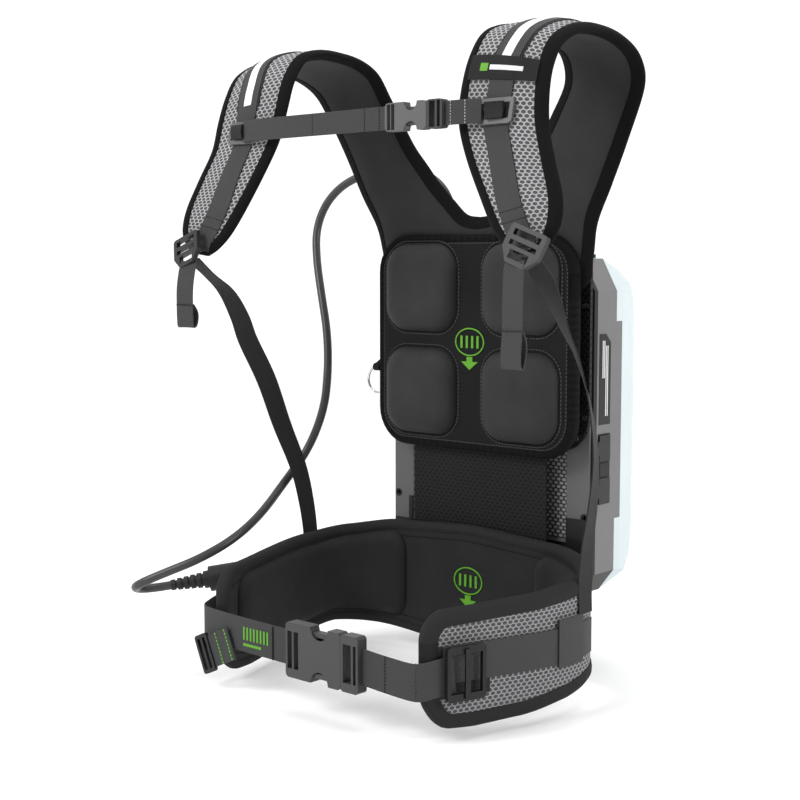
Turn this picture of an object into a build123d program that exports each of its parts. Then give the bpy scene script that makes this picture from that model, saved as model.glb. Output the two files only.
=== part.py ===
from build123d import *
import math
import os

# Backpack battery pack on a carrying harness, in millimetres.
# +Z is up, +X is to the wearer's left, +Y points away from the wearer's back.
# The origin is the centre of the back pad's face that meets the wearer.

os.makedirs("parts", exist_ok=True)

# housing
housing_half = 156
housing_top = 100
housing_bottom = -300
chamfer_x, chamfer_top, chamfer_bottom = 21, 38, 27
chassis_front, chassis_back = 37.2, 83
shell_front, shell_back = 83.3, 155
wall = 3
gap = 0.2
hole_x = 147
hole_rows = (45, -86, -205)
hole_r = 3.2
plate_front, plate_back = 34, 37

# back pad
pad_half, pad_top, pad_bottom, pad_thick, pad_corner = 152, 128, -134, 16, 45
cushion_x, cushion_z = (20, 135), (9, 119)
cushion_thick, cushion_corner = 12, 27
yoke_front, yoke_back = 12, 27

# straps: centre line of the foam in the Y-Z plane, from the yoke over the shoulder to the tip
strap_seam = 262
strap_line = [(19.5, strap_seam + 0.3), (19.5, 348.5), (-158, 348.5), (-211, 104)]
strap_radii = [60, 50]
strap_half = 7.5
strap_webbing = 30
chest_webbing, hip_webbing, lower_webbing = 25, 40, 25

# hip belt: plan of its middle line, from the right-hand wing round the back to the left
belt_line = [(156, -267), (207, -115), (206, 6), (-206, 6), (-207, -115), (-156, -267)]
belt_radii = [200, 80, 80, 200]
belt_half = 7
hip_z = -329
wing_z = -319

# power lead
cable_d = 11
cable_route = [
    (-100, 88, 128), (-100, 88, 166), (-122, 83, 202), (-168, 74, 220), (-214, 64, 215),
    (-258, 55, 205), (-290, 46, 178), (-302, 37, 140), (-292, 28, 98), (-271, 16, 52),
    (-249, 5, 2), (-234, -9, -48), (-229, -22, -98), (-242, -39, -151), (-254, -71, -191),
    (-241, -122, -223), (-228, -179, -246), (-244, -224, -268), (-280, -254, -287),
    (-305, -273, -301), (-325, -263, -311), (-326, -238, -315.5), (-306, -219, -311),
]
relief_length, plug_length, plug_r = 42, 68, 16


def block(x, y, z):
    """A box between pairs of limits."""
    size = [b - a for a, b in (x, y, z)]
    middle = [(a + b) / 2 for a, b in (x, y, z)]
    return Pos(*middle) * Box(*size)


def rod(start, end, r):
    """A round bar from one point to another."""
    line = Vector(*end) - Vector(*start)
    return extrude(Plane(origin=start, z_dir=line) * Circle(r), line.length)


def polygon(points):
    return make_face(Polyline(*points, close=True))


def slab_y(face, front, back):
    """A face drawn in X-Z, thickened from Y = front to Y = back."""
    plane = Plane(origin=(0, back, 0), x_dir=(1, 0, 0), z_dir=(0, -1, 0))
    return extrude(plane * face, back - front)


def slab_x(face, left, right):
    """A face drawn in Y-Z, thickened from X = left to X = right."""
    return extrude(Plane.YZ.offset(left) * face, right - left)


def slab_z(face, low, high):
    return extrude(Plane.XY.offset(low) * face, high - low)


def shifted(points, offset):
    """The points of an open line moved to its left by offset, mitred at the corners."""
    out = []
    steps = [Vector(b) - Vector(a) for a, b in zip(points, points[1:])]
    sides = [Vector(-s.Y, s.X).normalized() for s in steps]
    for i, point in enumerate(points):
        before, after = sides[max(i - 1, 0)], sides[min(i, len(sides) - 1)]
        mitre = (before + after).normalized()
        reach = offset / mitre.dot(after)
        out.append((point[0] + mitre.X * reach, point[1] + mitre.Y * reach))
    return out


def corner_signs(points):
    signs = []
    for a, b, c in zip(points, points[1:], points[2:]):
        turn = (b[0] - a[0]) * (c[1] - b[1]) - (b[1] - a[1]) * (c[0] - b[0])
        signs.append(1 if turn > 0 else -1)
    return signs


def band(points, radii, low, high):
    """The face between two offsets of a rounded line, both counted to its left."""
    signs = corner_signs(points)
    edges = []
    for offset in (low, high):
        rounded = [r - s * offset for r, s in zip(radii, signs)]
        edges.append(FilletPolyline(*shifted(points, offset), radius=rounded))
    ends = [Line(edges[0] @ i, edges[1] @ i) for i in (0, 1)]
    return make_face([*edges[0].edges(), *edges[1].edges(), *ends])


def mirrored(solid):
    return mirror(solid, about=Plane.YZ)


def pair(solid):
    """One node that holds a piece and its mirror image."""
    return Compound(children=[solid, mirrored(solid)])


def rounded_rect(x, z, radius):
    face = polygon([(x[0], z[0]), (x[1], z[0]), (x[1], z[1]), (x[0], z[1])])
    return fillet(face.vertices(), radius)


# ---------------------------------------------------------------- housing

def housing_outline():
    h, t, b = housing_half, housing_top, housing_bottom
    c = chamfer_x
    return polygon([
        (-h, b + chamfer_bottom), (-h + c, b), (h - c, b), (h, b + chamfer_bottom),
        (h, t - chamfer_top), (h - c, t), (-h + c, t), (-h, t - chamfer_top),
    ])


def inset(face, amount):
    return offset(face, amount=-amount, kind=Kind.INTERSECTION)


def ring(outer, inner, front, back):
    """A tube with the housing's outline, between two insets."""
    outside = housing_outline() if outer == 0 else inset(housing_outline(), outer)
    return slab_y(outside, front, back) - slab_y(inset(housing_outline(), inner), front - 1, back + 1)


panel_z = (-190, -106)
panel_y = (47, 72)
panel_x = (144, housing_half)
usb_z, button_z, aux_z = (-138, -107.5), (-156.2, -140.2), (-189, -158.5)
side_low, side_high = housing_bottom + chamfer_bottom, housing_top
step_z = (-210, 26)
step_back = 95


def panel_cut(clear):
    return block((panel_x[0] - 2, panel_x[1] + 5), (panel_y[0] - clear, panel_y[1] + clear),
                 (panel_z[0] - clear, panel_z[1] + clear))


def front_chassis():
    """Open tub: front wall, side walls behind the grey bands, black top and bottom."""
    inner = wall + gap
    body = slab_y(housing_outline(), chassis_front, chassis_front + wall)
    body += ring(0, 2 * wall + gap, chassis_front, 43.8)
    body += ring(inner, 2 * wall + gap, 43.8, chassis_back)
    for z in ((housing_bottom - 1, side_low - gap), (housing_top - 5, housing_top + 1)):
        half = 200 if z[0] < 0 else housing_half - chamfer_x - 2
        body += ring(0, 2 * wall + gap, 43.8, chassis_back) & block((-half, half), (0, 200), z)
    body -= panel_cut(gap)
    body -= rod((-100, 88, 70), (-100, 88, 110), 11 + gap)
    for x in (-hole_x, hole_x):
        for z in hole_rows:
            r = hole_r if z == hole_rows[-1] else 2.7
            body -= rod((x, 30, z), (x, 60, z), r)
    return body


def side_band():
    """Grey band down one side, with the chamfered top and a step into the shell."""
    body = ring(0, wall, 44, chassis_back)
    body += ring(0, wall, chassis_back, step_back) & block((0, 200), (0, 200), step_z)
    corner = housing_half - chamfer_x - 1.7
    return body & block((corner, 200), (0, 200), (side_low, side_high + 1))


def back_shell():
    """Light cover over the back: sides taper in, top and bottom slope to the rim."""
    rim_top, rim_bottom = housing_top, housing_bottom

    def solid(d):
        profile = polygon([
            (shell_front, rim_top - d), (106, 85 - d), (138, 44 - d), (149 - d, 20), (shell_back - d, 0),
            (shell_back - d, -192), (149 - d, -214), (140, -243 + d), (106, -283 + d),
            (shell_front, rim_bottom + d),
        ])
        plan = polygon([
            (-housing_half + d, shell_front), (-housing_half + d, 96), (-150 + d, 125), (-141 + d, 144),
            (-126 + d, shell_back - d), (126 - d, shell_back - d), (141 - d, 144), (150 - d, 125),
            (housing_half - d, 96), (housing_half - d, shell_front),
        ])
        outline = housing_outline() if d == 0 else inset(housing_outline(), d)
        return slab_y(outline, shell_front, 200) & slab_x(profile, -200, 200) & slab_z(plan, -400, 200)

    body = solid(0) - solid(wall)
    for side in (-1, 1):
        x = sorted((side * (housing_half - wall - gap), side * 200))
        body -= block(x, (80, step_back + gap), (step_z[0] - gap, step_z[1] + gap))
    body -= rod((-100, 88, 84), (-100, 88, 120), 11 + gap)
    return body


def front_plate():
    body = block((-153, 153), (plate_front, plate_back), (-237, 62))
    body -= block((-121, 121), (30, 40), (-233, 40))
    for x in (-hole_x, hole_x):
        for z in hole_rows:
            body -= rod((x, 30, z), (x, 40, z), hole_r)
    for x in (-137, 137):
        for z in (10, -110):
            body -= rod((x, 30, z), (x, 40, z), 2.2)
    return body


def plate_screws():
    """Four screws with low round heads that hold the plate to the chassis."""
    out = []
    for x in (-hole_x, hole_x):
        for z in hole_rows[:2]:
            out.append(rod((x, plate_front - 0.2, z), (x, plate_front - 2.2, z), 3.4)
                       + rod((x, plate_front - 0.2, z), (x, 46, z), 2.5))
    return Compound(children=out)


def carrier_screws():
    out = []
    for x in (-137, 137):
        for z in (10, -110):
            out.append(rod((x, 26.8, z), (x, 28.8, z), 4) + rod((x, 28.8, z), (x, 37, z), 2))
    return Compound(children=out)


def carry_handle():
    """Arched bar over the top, with a foot at each end."""
    line = [(-124, 104), (-112, 138), (112, 138), (124, 104)]
    bar = slab_y(band(line, [16, 16], -5, 5), 50, 72)
    bar = fillet(bar.edges().filter_by(GeomType.LINE).filter_by(Axis.X), 3)
    feet = [block((x - 9, x + 9), (49, 73), (housing_top + gap, housing_top + 5)) for x in (-123, 123)]
    return bar + feet[0] + feet[1]


def control_panel():
    """Dark insert in the left-hand band with two port recesses and the button's bore."""
    body = block(panel_x, panel_y, panel_z)
    for low, high in (usb_z, aux_z):
        body -= block((147, 160), (51, 68), (low + 4, high - 4))
    body -= block((140, 160), (50, 69), button_z)
    return body


def port_cover(z):
    plate = block((156.4, 158.2), (48, 70), z)
    middle = (z[0] + z[1]) / 2
    tab = block((156.4, 159), (43.5, 48), (middle - 8, middle + 8))
    return fillet(plate.edges().filter_by(Axis.X), 1.5) + tab


def power_button():
    return block((149, 157.2), (50.4, 68.6), (button_z[0] + 0.4, button_z[1] - 0.4))


def port_sockets():
    """A rectangular socket and a round one at the back of the recesses."""
    middle = (aux_z[0] + aux_z[1]) / 2
    square = block((147.2, 149.4), (53, 66), (usb_z[0] + 6, usb_z[1] - 6))
    barrel = rod((147.2, 59.5, middle), (149.4, 59.5, middle), 6)
    barrel -= rod((148, 59.5, middle), (150, 59.5, middle), 4)
    return Compound(children=[square, barrel])


def rating_label():
    x = housing_half + 0.05
    face = polygon([(48, -95), (71, -95), (71, 2), (61, 12), (48, 12)])
    return slab_x(face, x, x + 0.5)


cell_r, cell_length, cell_pitch = 10.6, 70, 22.4
cell_rows, cell_columns = 14, 3
cell_y, cell_z = 58, -250


def cells():
    """Two banks of cylindrical cells lying along X, three deep and fourteen high."""
    out = []
    for side in (-1, 1):
        for column in range(cell_columns):
            for row in range(cell_rows):
                y, z = cell_y + column * cell_pitch, cell_z + row * cell_pitch
                out.append(rod((side * 3, y, z), (side * (3 + cell_length), y, z), cell_r))
    return Compound(children=out)


def cell_holder(x):
    """Insulating board over the cell ends, with a window at each cell."""
    low = (cell_y - 12, cell_z - 12)
    high = (cell_y + 2 * cell_pitch + 12, cell_z + (cell_rows - 1) * cell_pitch + 12)
    body = block(x, (low[0], high[0]), (low[1], high[1]))
    windows = []
    for column in range(cell_columns):
        for row in range(cell_rows):
            y, z = cell_y + column * cell_pitch, cell_z + row * cell_pitch
            windows.append(rod((x[0] - 1, y, z), (x[1] + 1, y, z), 5))
    return body - windows


def cell_holders():
    return Compound(children=[cell_holder(x) for x in ((73.4, 79), (-79, -73.4), (-2.6, 2.6))])


def bus_bars():
    """Nickel strips across the outer cell ends, one for each pair of rows."""
    out = []
    for side in (-1, 1):
        x = sorted((side * 79.2, side * 79.7))
        for row in range(0, cell_rows, 2):
            z = cell_z + row * cell_pitch
            out.append(block(x, (cell_y - 8, cell_y + 2 * cell_pitch + 8), (z - 8, z + cell_pitch + 8)))
    return Compound(children=out)


def battery_board():
    return block((-60, 60), (44, 45.6), (-240, -60))


def port_board():
    return block((139, 141), (50, 70), (-188, -108))


def lumbar_bracket():
    body = block((-60, 60), (18.2, 37), (-300, -242))
    body = fillet(body.edges().filter_by(Axis.Y), 8)
    return body


# ---------------------------------------------------------------- back pad and yoke

def back_pad():
    face = rounded_rect((-pad_half, pad_half), (pad_bottom, pad_top), pad_corner)
    body = slab_y(face, 0, pad_thick)
    return fillet(body.faces().sort_by(Axis.Y)[0].edges(), 3)


def back_cushion(x_side, z_side):
    x = sorted(x_side * v for v in cushion_x)
    z = sorted(z_side * v for v in cushion_z)
    body = slab_y(rounded_rect(x, z, cushion_corner), -cushion_thick, 0)
    return fillet(body.faces().sort_by(Axis.Y)[0].edges(), 9)


def pad_carrier():
    body = slab_y(rounded_rect((-155.5, 155.5), (-128, 125), 45), 29, 33.6)
    for x in (-148.5, 148.5):
        for z in hole_rows[:2]:
            body -= rod((x, 20, z), (x, 40, z), 5)
    for x in (-137, 137):
        for z in (10, -110):
            body -= rod((x, 20, z), (x, 40, z), 2.2)
    return body


def mesh_flap():
    return block((-104, 104), (16.4, 17.6), (-345, -118))


def yoke():
    right = [(24, 151), (46, 169), (84, 216), (116, strap_seam)]
    outer = [(229, strap_seam), (200, 205), (180, 168), (162, 132), (162, 60)]
    half = right + outer
    other = [(-x, z) for x, z in reversed(half)]
    face = polygon(other + [(0, 148)] + half)
    body = slab_y(face, yoke_front, yoke_back)
    return body - block((-200, 200), (0, pad_thick + 0.4), (0, pad_top + 0.4))


def over_shoulder(low, high, width, line=strap_line, radii=strap_radii):
    """A band that follows the strap's line, wide in X; offsets count outwards from the foam."""
    return slab_x(band(line, radii, -high, -low), *width)


front_outline = [
    (142, 380), (140, 330), (135, 308), (135, 264), (141, 236), (156, 202), (183, 157), (208, 124),
    (232, 104), (258, 107), (276, 124), (281, 140), (278, 159), (265, 196), (249, 235), (245, 266),
    (243, 308), (246, 340), (246, 380),
]
back_outline = [
    (116, strap_seam), (138, 297), (142, 328), (142, 380), (246, 380), (246, 326), (244, 315),
    (239, 288), (229, strap_seam),
]


def shoulder_strap():
    """Foam strap, broad over the shoulder and tapering to a rounded tip."""
    foam = over_shoulder(-strap_half, strap_half, (100, 300))
    front = foam & slab_y(polygon(front_outline), -300, -70)
    back = foam & slab_y(polygon(back_outline), -70, 100)
    return front + back


def strap_webbing_band():
    """Webbing down the front of the strap, held 3 mm off it so that the slider can pass."""
    low = strap_half + 3
    strip = over_shoulder(low, low + 1.6, (100, 300))
    half = strap_webbing / 2
    line = [(191, 345), (191, 238), (226, 151), (240, 122)]
    face = polygon([(x - half, z) for x, z in line] + [(x + half, z) for x, z in reversed(line)])
    anchor = over_shoulder(strap_half + gap, low + 1.6, (191 - half, 191 + half))
    anchor &= block((100, 300), (-300, -100), (318, 345))
    return (strip & slab_y(face, -300, -100)) + anchor


def reflective_stripe():
    strip = over_shoulder(strap_half + 5, strap_half + 5.6, (184, 198))
    return strip & block((100, 300), (-190, -140), (303, 352))


def strap_patch():
    """Plain woven patch across the strap."""
    strip = over_shoulder(strap_half + 5.8, strap_half + 6.8, (146, 234))
    return strip & block((100, 300), (-300, -100), (282, 304))


# ---------------------------------------------------------------- plastic hardware

def ladder_frame(width, height, thick, slots, radius=4):
    """Flat frame in X-Z, centred, with slots given as (z centre, slot height)."""
    face = rounded_rect((-width / 2, width / 2), (-height / 2, height / 2), radius)
    body = slab_y(face, -thick / 2, thick / 2)
    for z, slot in slots:
        body -= block((-width / 2 + 4.5, width / 2 - 4.5), (-thick, thick), (z - slot / 2, z + slot / 2))
    return body


def side_release(length, height, thick, male_frame, webbing):
    """Side-release buckle along X, closed, with the split at X = 0. Returns (female, male)."""
    h, t = height / 2, thick / 2
    w = webbing / 2 + 1
    frame = 0.28 * length
    female = slab_y(rounded_rect((-length, 0), (-h, h), 5), -t, t)
    female -= block((-length + frame, 1), (-t + 2, t - 2), (-h + 5, h - 5))
    female -= block((-length + 3, -length + 3 + frame * 0.3), (-t - 1, t + 1), (-w, w))
    female -= block((-length + frame * 0.55, -length + frame * 0.85), (-t - 1, t + 1), (-w, w))
    for side in (-1, 1):
        female -= rod((-length * 0.38, -t - 1, side * h), (-length * 0.38, t + 1, side * h), length * 0.16)
    male = slab_y(rounded_rect((0.4, male_frame), (-h, h), 4), -t, t)
    male -= block((male_frame - 7, male_frame - 3), (-t - 1, t + 1), (-w, w))
    male -= block((4, male_frame - 10), (-t - 1, t + 1), (-w, w))
    tine = t - 2.5
    male += block((-length * 0.6, 1), (-tine, tine), (-3, 3))
    for side in (-1, 1):
        z = sorted((side * (h - 11), side * (h - 5.6)))
        male += block((-length * 0.55, 1), (-tine, tine), z)
    return female, male


chest_at = Vector(112, -206, 249)
hip_at = Vector(56, -278, hip_z)
chest_female_length, chest_male_length = 58, 22
hip_female_length, hip_male_length = 84, 26

slider_at = Vector(191, -194.6, 248)
strap_tilt = 12.3


def chest_slider():
    """Slider that wraps the strap webbing: a front frame and a bar behind the webbing."""
    front = ladder_frame(45, 27, 3, [(0, 17)], 5)
    bar = block((-22, 22), (4.3, 5.9), (-4, 4))
    sides = [block((x - 1.5, x + 1.5), (0, 5.9), (-4, 4)) for x in (-20.5, 20.5)]
    return Pos(*slider_at) * Rot(-strap_tilt, 0, 0) * (front + bar + sides[0] + sides[1])


def chest_web(line):
    """Flat sternum webbing, given in plan, level with the buckle."""
    z, half = chest_at.Z, chest_webbing / 2
    return slab_z(band(line, [60], -0.9, 0.9), z - half, z + half)


chest_line_right = [(-177, -200.6), (-120, -206.2), (54, -206.2)]
chest_line_left = [(134.5, -206.2), (148, -206.2), (177, -200.6)]


lock_at = Vector(254, -229, 110)
lock_lean = 20
lock_tilt = 15


def lock_place():
    return Pos(*lock_at) * Rot(0, lock_lean, 0) * Rot(-lock_tilt, 0, 0)


def ladder_lock():
    """Ladder-lock with a rounded foot; its top bar sits in the strap webbing's loop."""
    face = polygon([(-23, 19), (23, 19), (23, -6), (12, -20), (-12, -20), (-23, -6)])
    face = fillet(face.vertices(), 4)
    body = slab_y(face, -3, 3)
    body -= block((-17, 17), (-5, 5), (8, 14.5))
    body -= block((-17, 17), (-5, 5), (-2, 3))
    body -= block((-12, 12), (-5, 5), (-15, -6))
    return lock_place() * body


def tail_loop(length):
    """Doubled end of the webbing that hangs from the lock."""
    x, y, z = 247, -238, 84
    half = lower_webbing / 2 + 2
    face = polygon([(y - 2, z), (y + 2, z), (y + 8, z - length * 0.6), (y + 1.5, z - length),
                    (y - 1.5, z - length), (y - 3, z - length * 0.5)])
    lean = [(x - half + 2, z + 1), (x + half + 2, z + 1), (x + half, z - length - 1), (x - half, z - length - 1)]
    return slab_x(face, 200, 300) & slab_y(polygon(lean), -300, -200)


lower_line = [(-213, 93), (-170, 56), (-106, -54), (-71, -168), (-61, -249)]
lower_radii = [120, 300, 400]


def lower_strap():
    """Webbing from the lock down to the outside of the belt."""
    half = lower_webbing / 2
    strip = slab_x(band(lower_line, lower_radii, -0.9, 0.9), 150, 300)
    middle = [(256, 100), (250, 45), (250, -54), (243, -113), (229, -168), (224, -251)]
    face = polygon([(x - half, z) for x, z in middle] + [(x + half, z) for x, z in reversed(middle)])
    body = strip & slab_y(face, -300, 0)
    return body + block((214, 215.6), (-74, -49), (-291.5, -247))


# ---------------------------------------------------------------- hip belt

def belt_band(low, high, z):
    """Part of a shell round the belt; offsets count towards the wearer."""
    return slab_z(band(belt_line, belt_radii, low, high), *z)


def hip_belt():
    body = belt_band(-belt_half, belt_half, (-400, -220))
    front = polygon([
        (-230, -253), (-173, -243), (-117, -233), (0, -228), (117, -233), (173, -243), (230, -253),
        (230, -366), (180, -366), (100, -376), (0, -380), (-100, -376), (-180, -366), (-230, -366),
    ])
    side = polygon([
        (30, -220), (-15, -243), (-65, -253), (-144, -258), (-216, -262), (-246, -265), (-258, -275),
        (-300, -275), (-300, -374), (-256, -378), (-238, -388), (-150, -385), (-95, -379), (-50, -366),
        (30, -400),
    ])
    back = body & slab_y(front, -60, 40)
    wings = body & slab_y(polygon([(-300, -220), (300, -220), (300, -400), (-300, -400)]), -300, -60)
    return (back + wings) & slab_x(side, -300, 300)


def belt_cushion():
    """Long inner cushion that wraps from the back round the left-hand wing."""
    body = belt_band(belt_half + 0.1, belt_half + 10, (-359, -262))
    body &= block((112, 300), (-232, 40), (-400, -200))
    return body


def wing_web():
    """Webbing on the outside of the wing, between the keeper and the adjuster."""
    z = (wing_z - hip_webbing / 2, wing_z + hip_webbing / 2)
    return belt_band(-belt_half - 1.9, -belt_half - gap, z) & block((100, 300), (-246, -52), (-400, -200))


def keeper_loop():
    z = (wing_z - 27, wing_z + 27)
    body = belt_band(-belt_half - 3.8, -belt_half - 2.1, z) & block((100, 300), (-102, -62), (-400, -200))
    for edge in ((wing_z - 27, wing_z - 21.5), (wing_z + 21.5, wing_z + 27)):
        side = belt_band(-belt_half - 3.8, -belt_half - gap, edge)
        body += side & block((100, 300), (-102, -62), (-400, -200))
    return body


adjuster_at = Vector(186.5, -232.5, -326)
adjuster_turn = 71


def hip_adjuster():
    """Upright adjuster frame on the outside of the wing, with a raised bar."""
    body = ladder_frame(47, 58, 5, [(0, 42)], 5)
    body += block((-3, 3), (-5, -2.5), (-26, 26))
    return Pos(*adjuster_at) * Rot(0, 0, adjuster_turn) * body


web_left_line = [(-29, -278), (-120, -279), (-186, -268), (-204, -215)]
web_right_line = [(83, -278), (162, -279.2), (178, -239.5)]


def hip_web(line, radii):
    z = (hip_z - hip_webbing / 2, hip_z + hip_webbing / 2)
    return slab_z(band(line, radii, -0.9, 0.9), *z)


tab_at = Vector(-138, -283.2, -348)
tab_turn = 24


def hip_tab():
    """Folded tab stitched to the front of the webbing at a slant."""
    body = block((-16, 16), (-1.2, 1.2), (-19, 19))
    return Pos(*tab_at) * Rot(0, -tab_turn, 0) * body


def hip_loop():
    """Rectangular loop at the tab's end."""
    body = ladder_frame(46, 22, 4, [(4.6, 5), (-4.6, 5)], 4)
    return Pos(*tab_at) * Rot(0, -tab_turn, 0) * Pos(-28, -1, 0) * Rot(0, 90, 0) * body


# ---------------------------------------------------------------- ring and power lead

ring_at = Vector(-175.5, 24.75, -58)
ring_r, ring_wire = 17, 1.6


def lanyard_ring():
    plane = Plane(origin=ring_at, x_dir=(1, 0, 0), z_dir=(0, 1, 0))
    path = plane * CenterArc((0, 0), ring_r, 0, 360)
    section = Plane(origin=path @ 0, z_dir=path % 0) * Circle(ring_wire)
    return sweep(section, path=path)


def ring_tab():
    """Webbing tab that ends in a short sleeve round the ring's top."""
    x, y, z = ring_at.X, ring_at.Y, ring_at.Z + ring_r
    sleeve = rod((x - 5, y, z), (x + 5, y, z), 5)
    sleeve -= rod((x - 6, y, z - 0.6), (x + 6, y, z - 0.6), 3.4)
    strip = polygon([(x - 5, z + 3.6), (x + 5, z + 3.6), (-150, z + 3.6), (-120, z + 8), (-120, z + 26),
                     (-150, z + 24)])
    return sleeve + slab_y(strip, y - 1.6, y + 2.2)


def cable_radii():
    points = [Vector(*p) for p in cable_route]
    radii = []
    for a, b, c in zip(points, points[1:], points[2:]):
        turn = math.radians((b - a).get_angle(c - b))
        radii.append(0.45 * min((b - a).length, (c - b).length) / math.tan(turn / 2))
    return radii


def power_cable():
    radii = cable_radii()
    print("cable radii", [round(r) for r in radii])
    path = FilletPolyline(*cable_route, radius=radii)
    section = Plane(origin=path @ 0, z_dir=path % 0) * Circle(cable_d / 2)
    tube = sweep(section, path=path)
    ratio = tube.volume / (path.length * math.pi * cable_d ** 2 / 4)
    print("cable length", round(path.length), "volume over section times length", round(ratio, 4))
    return tube


def cable_gland():
    """Sleeve on a flange where the cable leaves the shell's shoulder."""
    x, y, top = cable_route[0]
    body = rod((x, y, 86), (x, y, 106), 11) + rod((x, y, 105), (x, y, top), 9)
    return body


plug_way = (Vector(*cable_route[-1]) - Vector(*cable_route[-2])).normalized()


def along(distance):
    return Vector(*cable_route[-1]) + plug_way * distance


def strain_relief():
    """Ribbed sleeve, wider towards the plug."""
    body = None
    ribs = 5
    step = relief_length / ribs
    for i in range(ribs):
        r = 6.8 + 0.7 * i
        piece = rod(along(i * step), along(i * step + step * 0.62), r)
        piece += rod(along(i * step + step * 0.5), along((i + 1) * step), r - 1.6)
        body = piece if body is None else body + piece
    return body


def plug():
    start = relief_length + gap
    body = rod(along(start), along(start + 8), 11)
    body += rod(along(start + 7), along(start + plug_length - 14), plug_r)
    body += rod(along(start + plug_length - 15), along(start + plug_length), plug_r - 3)
    return body


# ---------------------------------------------------------------- everything

def parts():
    chest_female, chest_male = side_release(chest_female_length, 30, 11, chest_male_length, chest_webbing)
    hip_female, hip_male = side_release(hip_female_length, 62, 14, hip_male_length, hip_webbing)
    strap, lock, lower, cushion = shoulder_strap(), ladder_lock(), lower_strap(), belt_cushion()
    corners = [(1, 1), (1, -1), (-1, 1), (-1, -1)]
    return {
        "front_chassis": front_chassis(),
        "side_bands": pair(side_band()) - panel_cut(gap),
        "back_shell": back_shell(),
        "front_plate": front_plate(),
        "vent_grille": block((-120.7, 120.7), (34.6, 36), (-232.7, 39.7)),
        "plate_screws": plate_screws(),
        "carrier_screws": carrier_screws(),
        "carry_handle": carry_handle(),
        "control_panel": control_panel(),
        "usb_cover": port_cover(usb_z),
        "aux_cover": port_cover(aux_z),
        "power_button": power_button(),
        "port_sockets": port_sockets(),
        "rating_label": rating_label(),
        "cells": cells(),
        "cell_holders": cell_holders(),
        "bus_bars": bus_bars(),
        "battery_board": battery_board(),
        "port_board": port_board(),
        "lumbar_bracket": lumbar_bracket(),
        "back_pad": back_pad(),
        "back_cushions": Compound(children=[back_cushion(x, z) for x, z in corners]),
        "pad_carrier": pad_carrier(),
        "mesh_flap": mesh_flap(),
        "yoke": yoke(),
        "strap_left": strap,
        "strap_right": mirrored(strap),
        "strap_webs": pair(strap_webbing_band()),
        "stripes": pair(reflective_stripe()),
        "strap_patch": strap_patch(),
        "chest_sliders": pair(chest_slider()),
        "chest_buckle_female": Pos(*chest_at) * chest_female,
        "chest_buckle_male": Pos(*chest_at) * chest_male,
        "chest_web_right": chest_web(chest_line_right),
        "chest_web_left": chest_web(chest_line_left),
        "ladder_lock_left": lock,
        "ladder_lock_right": mirrored(lock),
        "tail_left": tail_loop(92),
        "tail_right": mirrored(tail_loop(66)),
        "lower_strap_left": lower,
        "lower_strap_right": mirrored(lower),
        "hip_belt": hip_belt(),
        "belt_cushion_left": cushion,
        "belt_cushion_right": mirrored(cushion),
        "wing_webs": pair(wing_web()),
        "keeper_loops": pair(keeper_loop()),
        "hip_adjuster": hip_adjuster(),
        "hip_web_left": hip_web(web_right_line, [10]),
        "hip_web_right": hip_web(web_left_line, [60, 30]),
        "hip_buckle_female": Pos(*hip_at) * hip_female,
        "hip_buckle_male": Pos(*hip_at) * hip_male,
        "hip_tab": hip_tab(),
        "hip_loop": hip_loop(),
        "lanyard_ring": lanyard_ring(),
        "ring_tab": ring_tab(),
        "cable_gland": cable_gland(),
        "power_cable": power_cable(),
        "strain_relief": strain_relief(),
        "plug": plug(),
    }


if __name__ == "__main__":
    nodes = parts()
    for name, solid in nodes.items():
        export_step(solid, f"parts/{name}.step")
    print(len(nodes), "nodes")
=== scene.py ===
import math

import bmesh
import bpy
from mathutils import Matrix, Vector


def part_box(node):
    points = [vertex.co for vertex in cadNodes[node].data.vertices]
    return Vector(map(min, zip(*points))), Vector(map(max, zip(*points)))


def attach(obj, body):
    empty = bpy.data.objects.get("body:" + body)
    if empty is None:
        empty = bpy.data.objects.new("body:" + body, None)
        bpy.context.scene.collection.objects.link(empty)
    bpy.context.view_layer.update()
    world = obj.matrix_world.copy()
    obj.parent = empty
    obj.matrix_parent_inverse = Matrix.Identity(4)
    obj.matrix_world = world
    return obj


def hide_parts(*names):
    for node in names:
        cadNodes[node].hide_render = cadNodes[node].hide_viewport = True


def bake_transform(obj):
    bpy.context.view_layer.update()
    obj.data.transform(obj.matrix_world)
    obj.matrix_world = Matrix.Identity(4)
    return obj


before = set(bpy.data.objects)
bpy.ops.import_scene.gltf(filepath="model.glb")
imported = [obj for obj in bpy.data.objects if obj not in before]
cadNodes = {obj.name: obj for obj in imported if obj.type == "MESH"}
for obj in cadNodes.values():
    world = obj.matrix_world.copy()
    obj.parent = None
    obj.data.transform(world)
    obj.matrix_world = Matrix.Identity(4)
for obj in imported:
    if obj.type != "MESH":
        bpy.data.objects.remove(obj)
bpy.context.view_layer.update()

print("frame loaded:", len(cadNodes), "nodes")

# the camera stands off the wearer's left shoulder, a little above the pad
view = {"place": (1.1149, -1.3654, 0.0977), "azimuth": 42, "elevation": 5.5, "lens": 65.25}
turn, rise = math.radians(view["azimuth"]), math.radians(view["elevation"])
forward = Vector((-math.sin(turn) * math.cos(rise), math.cos(turn) * math.cos(rise), -math.sin(rise)))
cameraData = bpy.data.cameras.new("camera")
cameraData.lens = view["lens"]
camera = bpy.data.objects.new("camera", cameraData)
camera.location = view["place"]
camera.rotation_euler = forward.to_track_quat("-Z", "Y").to_euler()
bpy.context.collection.objects.link(camera)
bpy.context.scene.camera = camera
bpy.context.scene.view_settings.view_transform = "Standard"


waveScale = 314  # a wave texture of this scale repeats once a millimetre
hexRise = 0.866  # half a hexagon's height for a side of one


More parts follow.
